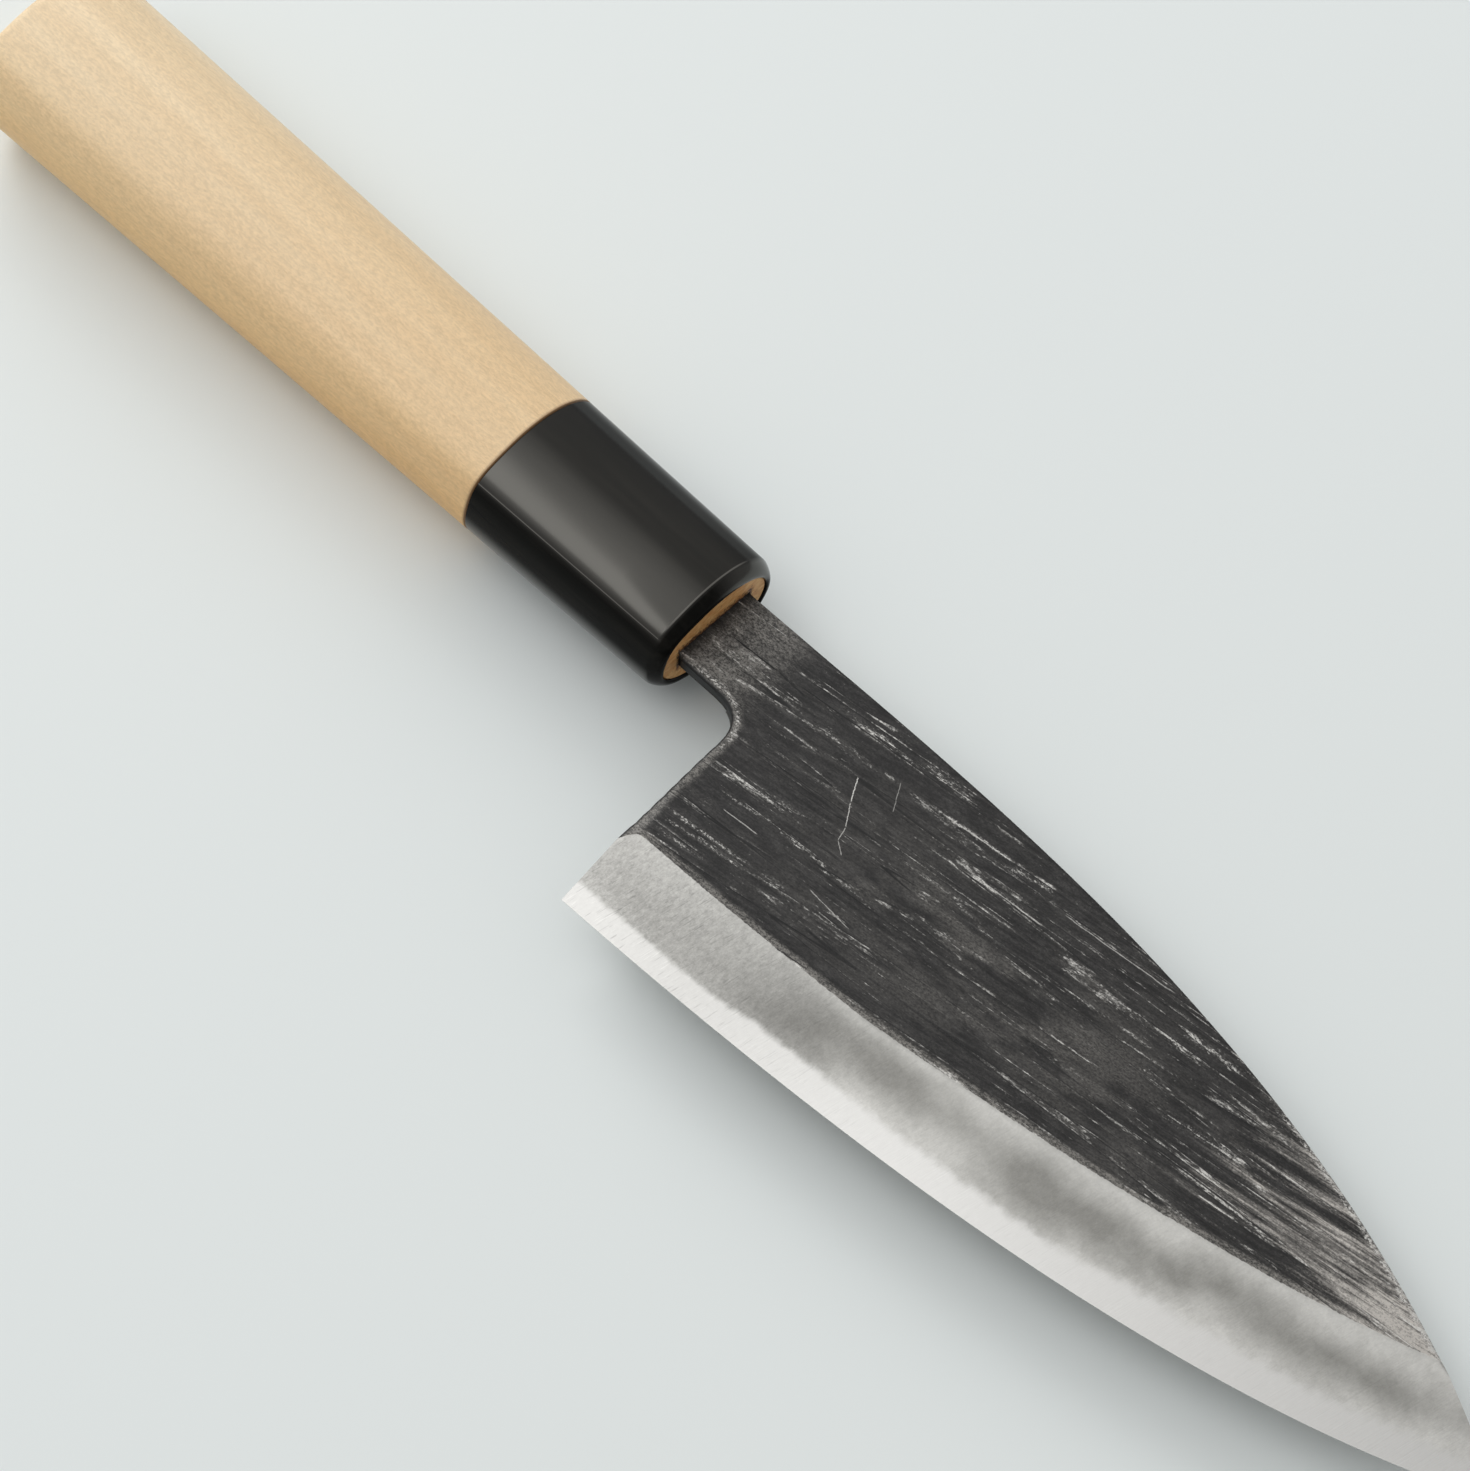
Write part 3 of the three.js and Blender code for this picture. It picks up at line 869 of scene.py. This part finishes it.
def woodFinish():
    material, tree, coords = newFinish("paleMagnolia")
    bands = grain(coords, (60.0, 3.0, 3.0), 0.0, 3.0, 0.5)
    lines = grain(coords, (14.0, 0.4, 0.4), 0.0, 3.0, 0.6)
    silk = grain(coords, (0.85, 0.3, 0.3), 0.0, 5.0, 0.75)
    pores = grain(coords, (1.0, 0.13, 0.13), 0.0, 2.0, 0.5)
    along = spreadOut(coords)[0]
    wood = blend(fade(bands, 0.25, 0.75), woodLook["pale"], woodLook["deep"])
    wood = scaled(wood, fade(lines, 0.3, 0.7, 1.02, 0.98))
    wood = scaled(wood, fade(silk, 0.34, 0.66, 0.90, 1.10))
    wood = blend(fade(pores, 0.62, 0.74, 0.0, 0.3), wood, woodLook["fleck"])
    # Painted warm shade: the wood is tinted darker and warmer toward the edge side
    toEdge = addNode(tree, "VectorMath", {0: coords, 1: woodLook["warmShadeWay"]}, operation="DOT_PRODUCT")
    tint = blend(fade(toEdge.outputs["Value"], -0.35, 1.0), (1, 1, 1, 1), woodLook["warmShade"])
    wood = tinted(wood, tint)
    tint = blend(fade(along, handleBack.x + 10, ferruleBack.x), (1, 1, 1, 1), woodLook["handled"])
    wood = tinted(wood, tint)
    wood = blend(fade(along, ferruleBack.x - 0.6, ferruleBack.x), wood, woodLook["joint"])
    return dressed(material, {"Base Color": wood, "Roughness": woodLook["roughness"],
                              "Normal": bump(silk, 0.04, 0.4)})


# The tenon's end, oiled and singed brown, darkest at the tang, with painted shade in the recess over the
# tang's flat sides
def tenonFinish():
    material, tree, coords = newFinish("burntTenon")
    pores = grain(coords, (0.5, 0.35, 0.35), 0.0, 3.0, 0.6)
    rings = grain(coords, (4.0, 1.6, 0.6), 0.0, 3.0, 0.6)
    wood = blend(fade(rings, 0.35, 0.7), woodLook["tenon"], woodLook["tenonLight"])
    burnAndShade = plus(painted(tree, "fromTang"), fade(pores, 0.2, 0.8, -0.35, 0.35))
    wood = blend(fade(burnAndShade, 0.7, 0.05), wood, woodLook["burnt"])
    wood = blend(fade(pores, 0.6, 0.72, 0.0, 0.5), wood, woodLook["burnt"])
    return dressed(material, {"Base Color": wood, "Roughness": woodLook["tenonRoughness"],
                              "Normal": bump(pores, 0.05, 0.6)})


# Measures along the blade, in mm, and where its wear lies, for the finishes to read
bladePaint = {
    "bandHeights": ((12, 2.7), (32, 2.7), (38, 3.4), (78, 3.2), (86, 4.0), (118, 3.9), (129, 3.0)),
    "bandSoftness": (0.4, 1.0),  # at the heel and at the tip
    "cloud": ((12, 5, 0.25), (22, 5, 0.5), (31, 5.5, 0.5), (38, 6.2, 0.85), (46, 7.5, 0.95), (54, 8.4, 0.9),
              (62, 8.3, 0.75), (70, 7.7, 0.9), (78, 7.4, 1.1), (86, 7.5, 0.8), (94, 9.2, 1.0),
              (102, 8.6, 0.85), (116, 7.8, 0.8), (123, 7.5, 0.4), (129, 6, 0.1)),  # middle and strength
    "cloudWidth": (5.0, 3.2, 2.4),  # at the heel, in the middle and toward the tip
    "cloudPlaces": (30, 55, 84, 102),  # where each of these stretches ends and the next begins
    "cloudFade": 0.45,
    "lineStrip": (1.1, 1.0),  # width and strength of the grey above the bevel line
    "rearStrip": (1.6, 1.2),  # and beside the chin and the choil
    "stripFull": 0.5,  # distance within which these strips are full
    "choilHaze": 0.65,  # share of the rear strip that is left at the choil
    "arris": (0.7, 0.4, 0.2),  # rubbed line beside that edge: distance, half width and strength
    "arrisGain": 3,  # added strength at the choil
    "spineStrip": (1.1, 1.0),  # and along the spine toward the tip: width and strength
    "spineRun": (65, 105),
    "outline": 0.2,  # painted shade: dark line round the face where it rounds off, on the black scale
    "neckRise": 30,  # stands for the height above the bevel line behind it
    "chinShift": 4,  # mm that the line moves down for each mm of the chin's grind
    "neckHaze": 0.9,
    "wear": 0.42,  # on the whole face
    "veil": (55, -11, 28, 9, 0.55),  # grey over the middle: its middle, reach along and across, and strength
    "tipWear": ((70, 0.0), (80, 0.05), (88, 0.3), (95, 0.6), (102, 0.8), (108, 1.1), (118, 1.3), (130, 1.9)),
    "tipRun": (95, 110),  # where that wear spreads down to the bevel line
}
# Rubbed streaks: both ends, half width and strength
rubMarks = (
    ((12, -21.0), (24, -19.4), 0.3, 0.7),
    ((13, -22.0), (25, -20.1), 0.3, 0.65),
    ((12.5, -23.7), (21, -22.4), 0.3, 0.5),
    ((25, -19.6), (29, -18.4), 0.6, 0.45),
    ((13, -12.9), (23, -11.2), 0.3, 0.45),
    ((15, -15.0), (22.5, -13.8), 0.25, 0.5),
    ((22.5, -13.8), (35, -13.3), 0.35, 0.45),
    ((12, -17.6), (16, -17.2), 0.4, 0.4),
    ((17, 2.6), (29, 3.4), 0.35, 0.5),
    ((28.5, 4.4), (36, 4.6), 0.6, 0.6),
    ((34, 1.0), (45, 2.4), 0.35, 0.6),
    ((43, 1.1), (50, 3.0), 0.4, 0.6),
    ((42, -5.8), (50, -6.6), 0.4, 0.45),
    ((43, -2.0), (52, -1.1), 0.35, 0.5),
    ((61.5, -2.8), (67.5, -1.6), 0.5, 0.45),
    ((68.5, -1.2), (76, -0.8), 0.5, 0.5),
    ((71, 0.7), (79, 1.6), 0.6, 0.6),
    ((73, -9.0), (86, -6.3), 0.6, 0.4),
)
# Worn patches: middle, reach along and across, and strength
wornPatches = (
    (16, -18, 7, 8, 0.5),
    (34, 4.3, 18, 3, 0.8),
    (45, -2, 15, 6, 0.6),
    (62, -8, 14, 5, 0.6),
    (50, -14, 14, 5, 0.5),
    (75, 1, 12, 4, 0.7),
    (88, -8, 10, 9, 0.9),
    (114, -8, 20, 10, 1.0),
)


def paintWear(x, y):
    wear = np.full(len(x), bladePaint["wear"])
    for middleX, middleY, reachX, reachY, strength in wornPatches:
        gap = ((x - middleX) / reachX) ** 2 + ((y - middleY) / reachY) ** 2
        wear = np.maximum(wear, strength * np.exp(-gap))
    return wear


def paintRubs(x, y):
    rub = np.zeros(len(x))
    wobble = 0.05 * np.sin(0.9 * x + 0.6 * y) + 0.03 * np.sin(2.3 * x)
    for start, end, halfWidth, strength in rubMarks:
        run = np.subtract(end, start)
        length = math.hypot(*run)
        along = ((x - start[0]) * run[0] + (y - start[1]) * run[1]) / length ** 2
        across = ((y - start[1]) * run[0] - (x - start[0]) * run[1]) / length + wobble
        ends = ease(along, -0.1, 0.2) * ease(along, 1.1, 0.8)
        rub = np.maximum(rub, strength * ends * np.exp(-(across / halfWidth) ** 2))
    return rub


# Soft cloud on the ground iron, thinner just under the bevel line
def paintCloud(x, aboveEdge, aboveLine):
    heelWidth, midWidth, tipWidth = bladePaint["cloudWidth"]
    heelEnd, midStart, midEnd, tipStart = bladePaint["cloudPlaces"]
    width = mix(heelWidth, midWidth, ease(x, heelEnd, midStart))
    width = mix(width, tipWidth, ease(x, midEnd, tipStart))
    gap = (aboveEdge - alongBlade(x, bladePaint["cloud"])) / width
    cloud = alongBlade(x, bladePaint["cloud"], 2) * np.exp(-gap ** 2)
    return cloud * (1 - bladePaint["cloudFade"] * ease(aboveLine, -1.3, -0.2))


# Grey haze above the bevel line, beside the chin and the choil, and on the neck
def paintHaze(x, y, aboveLine, rear, chin):
    lineWidth, lineStrength = bladePaint["lineStrip"]
    rearWidth, rearStrength = bladePaint["rearStrip"]
    full = bladePaint["stripFull"]
    onLine = lineStrength * ease(aboveLine, lineWidth, full)
    onRear = rearStrength * np.maximum(ease(rear, rearWidth, full), ease(chin, 0.0, 0.12))
    onRear = onRear * mix(bladePaint["choilHaze"], 1, ease(y, -8, -16))
    # On the neck the grey fades out toward the ferrule, leaving the scale dark there as painted shade
    onNeck = bladePaint["neckHaze"] * ease(x, 12, 5) * ease(x, -0.5, 2.2)
    return np.maximum(np.maximum(onLine, onRear), onNeck)


# Lines rubbed bare beside the chin and the choil, and along the spine toward the tip
def paintArrises(x, y, rear):
    gap, width, strength = bladePaint["arris"]
    arris = strength * np.exp(-((rear - gap) / width) ** 2)
    arris = arris * (1 + bladePaint["arrisGain"] * ease(y, -14, -9))
    spineWidth, spineStrength = bladePaint["spineStrip"]
    onSpine = spineStrength * ease(spineAt(x) - y, spineWidth, bladePaint["stripFull"])
    return np.maximum(arris, onSpine * ease(x, *bladePaint["spineRun"]))


def paintVeil(x, y):
    middleX, middleY, reach, rise, strength = bladePaint["veil"]
    return strength * np.exp(-((x - middleX) / reach) ** 2 - ((y - middleY) / rise) ** 2)


def paintBlade(piece):
    mesh = piece.data
    places = np.empty(len(mesh.vertices) * 3, np.float32)
    mesh.vertices.foreach_get("co", places)
    places = (places.reshape(-1, 3).astype(float) - np.array(knifePoint)) / mm
    x, y, z = places.T
    rear = fromRear(x, y)
    chin = chinDrop(x, y)
    aboveEdge = y - edgeAt(x)
    aboveLine = np.where(x > chinTop.x - 0.5, aboveEdge - bevelAt(x), bladePaint["neckRise"])
    aboveLine = aboveLine + bladePaint["chinShift"] * chin
    onFace = ease(faceAt(x) - chin - z, 0.6, 0.3)
    offRear = ease(rear, 0.15, 0.4)
    offStrip = ease(rear, 0.3, 2.2)
    # Painted shade: a thin dark line round the face where it rounds off
    outline = ease(np.minimum(spineAt(x) - y, rear), bladePaint["outline"], 0.05)
    outline = outline * ease(aboveLine, -0.5, 0.5)
    softness = mix(*bladePaint["bandSoftness"], ease(x, 15, 110))
    tipWear = alongBlade(x, bladePaint["tipWear"])
    tipWear = tipWear * mix(ease(aboveLine, -1, 5), 1, ease(x, *bladePaint["tipRun"]))
    rub = np.maximum(paintRubs(x, y) * offStrip, paintArrises(x, y, rear))
    measures = {
        "aboveBand": (aboveEdge - alongBlade(x, bladePaint["bandHeights"])) / softness,
        "aboveLine": aboveLine,
        "cloud": paintCloud(x, aboveEdge, aboveLine),
        "wear": paintWear(x, y) * onFace * offStrip,
        "rub": rub * onFace * offRear,
        "haze": paintHaze(x, y, aboveLine, rear, chin) * onFace * offRear,
        "tipWear": tipWear * onFace,
        # The walls and the line round the face, black scale deepened as painted shade
        "wall": np.maximum(1 - onFace, outline),
        "veil": paintVeil(x, y) * onFace,
    }
    for name, values in measures.items():
        paint(mesh, name, values.astype(np.float32))


blackIron = ironFinish()
sharp = bladeMesh["sharpAngle"]
ironBody = finishPiece(makeIron(), "ironBody", "soft_iron_body", [blackIron], sharp)
steelLooks = [steelFinish(), blackIron, backFinish()]
edgeSteel = finishPiece(makeSteel(), "edgeSteel", "edge_steel", steelLooks, sharp)
for piece in (ironBody, edgeSteel):
    paintBlade(piece)
print("blade made")


# Rings round the handle's axis: a circle that is extruded on and shaped at each station
sectionForm = {
    "points": 288,
    "ridgeTurn": 138.75,  # degrees from the spine side, round over the right face
    "ridgeWidth": 18.5,
    "ridgeLift": 0.0775,  # share of the section's half size
    "sharpAngle": 35,  # degrees
}


def sectionRing(halfHeight, halfThickness):
    def place(turn):
        off = (math.degrees(turn) - sectionForm["ridgeTurn"]) / sectionForm["ridgeWidth"]
        reach = 1 + sectionForm["ridgeLift"] * math.exp(-off * off)
        return halfHeight * reach * math.cos(turn), halfThickness * reach * math.sin(turn)
    return place


def slotRing(halfHeight, halfThickness):
    def place(turn):
        reach = max(abs(math.cos(turn)), abs(math.sin(turn)))
        return halfHeight * math.cos(turn) / reach, halfThickness * math.sin(turn) / reach
    return place


def betweenRings(first, second, share):
    def place(turn):
        return tuple(mix(a, b, share) for a, b in zip(first(turn), second(turn)))
    return place


def startRing():
    bm = bmesh.new()
    turns = bm.verts.layers.float.new("turn")
    bmesh.ops.create_circle(bm, cap_ends=False, segments=sectionForm["points"], radius=1)
    for vert in bm.verts:
        vert[turns] = math.atan2(vert.co.y, vert.co.x) % (2 * math.pi)
    return bm, turns, bm.edges[:]


def shapeRing(verts, turns, x, place):
    for vert in verts:
        vert.co = (x, *place(vert[turns]))


# Extrudes a ring through a list of stations and gives back its last edges
def sweepRing(bm, turns, ring, stations):
    for x, place in stations:
        made = bmesh.ops.extrude_edge_only(bm, edges=ring)
        shapeRing(newVerts(made), turns, x, place)
        ring = newEdges(made)
    return ring


ferruleForm = {
    "frontHalf": (10.05, 7.95),  # half height and half thickness, mm
    "bore": (8.45, 5.95),
    "rimDepth": 1.65,
    "litRim": 50,  # degrees round from the spine side where the rim keeps its full gloss, without the painted shade
    "rimEase": 0.3,
    "rimLip": 0.4,
    "rimSteps": 12,
    "rimCrease": 0.4,  # slope that the rim starts with, against its whole fall
    "creaseRound": 0.12,
    "boreRound": 0.3,
    "boreSteps": 4,
    "sleevePlaces": (0.66, 0.33),  # shares of the length
    "jointChamfer": 0.12,
}
handleForm = {
    "flare": (1.648, 1.298),  # growth of the half sizes from the ferrule to the butt
    "buttRound": 1.5,
    "jointChamfer": 0.2,
    "roundSteps": 8,
    "stations": 10,
    "tenon": (8.42, 5.92),
    "tenonRecess": 0.25,
    "tenonRound": 0.1,
    "slot": (5.85, 1.6),
    "slotEnd": (3.3, 1.3),
    "slotGap": 0.3,  # behind the tang
    "faceRings": (0.3, 0.6, 0.85),  # shares of the way from the tenon's rim to the slot
    "buttRings": (0.75, 0.5, 0.25),
}
shoulderHalf = (ferruleFront.y, ferruleFront.z)


def ferruleHalf(x):
    share = x / ferruleBack.x
    return [mix(front, back, share) for front, back in zip(ferruleForm["frontHalf"], shoulderHalf)]


# Fall of the rim, 0 at its crease and 1 at the front
def rimFall(share):
    slope = ferruleForm["rimCrease"]
    return slope * share + (1 - slope) * (1 - math.sqrt(max(1 - share * share, 0)))


def makeFerrule():
    bm, turns, ring = startRing()
    chamfer = ferruleForm["jointChamfer"]
    shapeRing(bm.verts, turns, ferruleBack.x, sectionRing(*[half - chamfer for half in shoulderHalf]))
    depth, crease = ferruleForm["rimDepth"], ferruleForm["creaseRound"]
    rimHalf = ferruleHalf(0)
    walls = [half - bore - ferruleForm["rimLip"] for half, bore in zip(rimHalf, ferruleForm["bore"])]
    places = [ferruleBack.x * share for share in ferruleForm["sleevePlaces"]]
    places = [ferruleBack.x + chamfer, *places, -depth - crease]
    stations = [(x, sectionRing(*ferruleHalf(x))) for x in places]
    shares = [crease / depth] + [math.sin(math.pi / 2 * step / ferruleForm["rimSteps"])
                                 for step in range(2, ferruleForm["rimSteps"] + 1)]
    for share in shares:
        x = -depth * (1 - share)
        halves = [half - wall * rimFall(share) for half, wall in zip(ferruleHalf(x), walls)]
        stations.append((x, sectionRing(*halves)))
    bore, boreRound = ferruleForm["bore"], ferruleForm["boreRound"]
    for step in range(ferruleForm["boreSteps"] + 1):
        turn = math.pi / 2 * step / ferruleForm["boreSteps"]
        inset = boreRound * (1 - math.sin(turn))
        stations.append((-boreRound * (1 - math.cos(turn)), sectionRing(*[half + inset for half in bore])))
    stations.append((ferruleBack.x, sectionRing(*bore)))
    last = sweepRing(bm, turns, ring, stations)
    bmesh.ops.bridge_loops(bm, edges=ring + last)
    return bm


# The horn's gloss is painted low on its rim, below the ridge and along the spine side as painted shade, and
# high along the ridge as a painted highlight
def paintFerrule(piece):
    mesh = piece.data
    side, dulled, ridge = hornLook["gloss"]
    belowStart, belowFull, belowFade, belowEnd = hornLook["shadeBelow"]
    rimStart = -ferruleForm["rimDepth"]
    glosses = []
    for vert in mesh.vertices:
        place = (vert.co - knifePoint) / mm
        turn = math.degrees(math.atan2(place.z / shoulderHalf[1], place.y / shoulderHalf[0])) % 360
        below = ease(turn, belowStart, belowFull) * ease(turn, belowEnd, belowFade)
        spineSide = ease(turn, *hornLook["shadeSpine"])
        onRim = ease(place.x, rimStart, rimStart + ferruleForm["rimEase"])
        litRim = onRim * ease(abs(turn - ferruleForm["litRim"]), *hornLook["litReach"])
        gloss = mix(side, dulled, max(below, spineSide, onRim) * (1 - litRim))
        onRidge = (1 - onRim) * max(1 - abs(turn - sectionForm["ridgeTurn"]) / hornLook["ridgeHalf"], 0)
        glosses.append(mix(gloss, ridge, onRidge))
    paint(mesh, "gloss", glosses)


def makeHandle():
    bm, turns, ring = startRing()
    woodLength = ferruleBack.x - handleBack.x
    chamfer = handleForm["jointChamfer"]
    shapeRing(bm.verts, turns, ferruleBack.x, sectionRing(*[half - chamfer for half in shoulderHalf]))

    def woodHalf(x):
        share = (ferruleBack.x - x) / woodLength
        return [half + flare * share for half, flare in zip(shoulderHalf, handleForm["flare"])]

    x = ferruleBack.x - chamfer
    stations = [(x, sectionRing(*woodHalf(x)))]
    roundRadius = handleForm["buttRound"]
    for step in range(1, handleForm["stations"]):
        x = mix(ferruleBack.x, handleBack.x + roundRadius, step / handleForm["stations"])
        stations.append((x, sectionRing(*woodHalf(x))))
    for step in range(handleForm["roundSteps"] + 1):
        turn = math.pi / 2 * step / handleForm["roundSteps"]
        x = handleBack.x + roundRadius * (1 - math.sin(turn))
        halves = [half - roundRadius * (1 - math.cos(turn)) for half in woodHalf(x)]
        stations.append((x, sectionRing(*halves)))
    buttHalf = [half - roundRadius for half in woodHalf(handleBack.x)]
    for share in handleForm["buttRings"]:
        stations.append((handleBack.x, sectionRing(*[half * share for half in buttHalf])))
    butt = sweepRing(bm, turns, ring, stations)
    bmesh.ops.contextual_create(bm, geom=butt)

    tenonFront = -handleForm["tenonRecess"]
    corner = handleForm["tenonRound"]
    tenon = sectionRing(*handleForm["tenon"])
    tenonFace = sectionRing(*[half - corner for half in handleForm["tenon"]])
    slot = slotRing(*handleForm["slot"])
    stations = [(ferruleBack.x, tenon), (tenonFront - corner, tenon), (tenonFront, tenonFace)]
    stations += [(tenonFront, betweenRings(tenonFace, slot, share)) for share in handleForm["faceRings"]]
    stations += [(tenonFront, slot), (tangReach - handleForm["slotGap"], slotRing(*handleForm["slotEnd"]))]
    slotFloor = sweepRing(bm, turns, ring, stations)
    bmesh.ops.contextual_create(bm, geom=slotFloor)
    for face in bm.faces:
        face.material_index = 1 if face.calc_center_median().x > ferruleBack.x + 1 else 0
    return bm


# How far each point lies from the tang, counted shorter over its flat sides, so that the singed dark and its
# painted shade reach further there
def paintTenon(piece):
    mesh = piece.data
    gaps = []
    for vert in mesh.vertices:
        place = (vert.co - knifePoint) / mm
        overHeight = max(abs(place.y) - neckHalf, 0)
        overThickness = max(abs(place.z) - faceTop, 0)
        gaps.append(math.hypot(overHeight, overThickness * woodLook["singeShadeShare"]))
    paint(mesh, "fromTang", gaps)


sharp = sectionForm["sharpAngle"]
ferruleSleeve = finishPiece(makeFerrule(), "ferruleSleeve", "ferrule", [hornFinish()], sharp)
woodLooks = [woodFinish(), tenonFinish()]
woodHandle = finishPiece(makeHandle(), "woodHandle", "handle", woodLooks, sharp)
paintFerrule(ferruleSleeve)
paintTenon(woodHandle)
print("handle made")
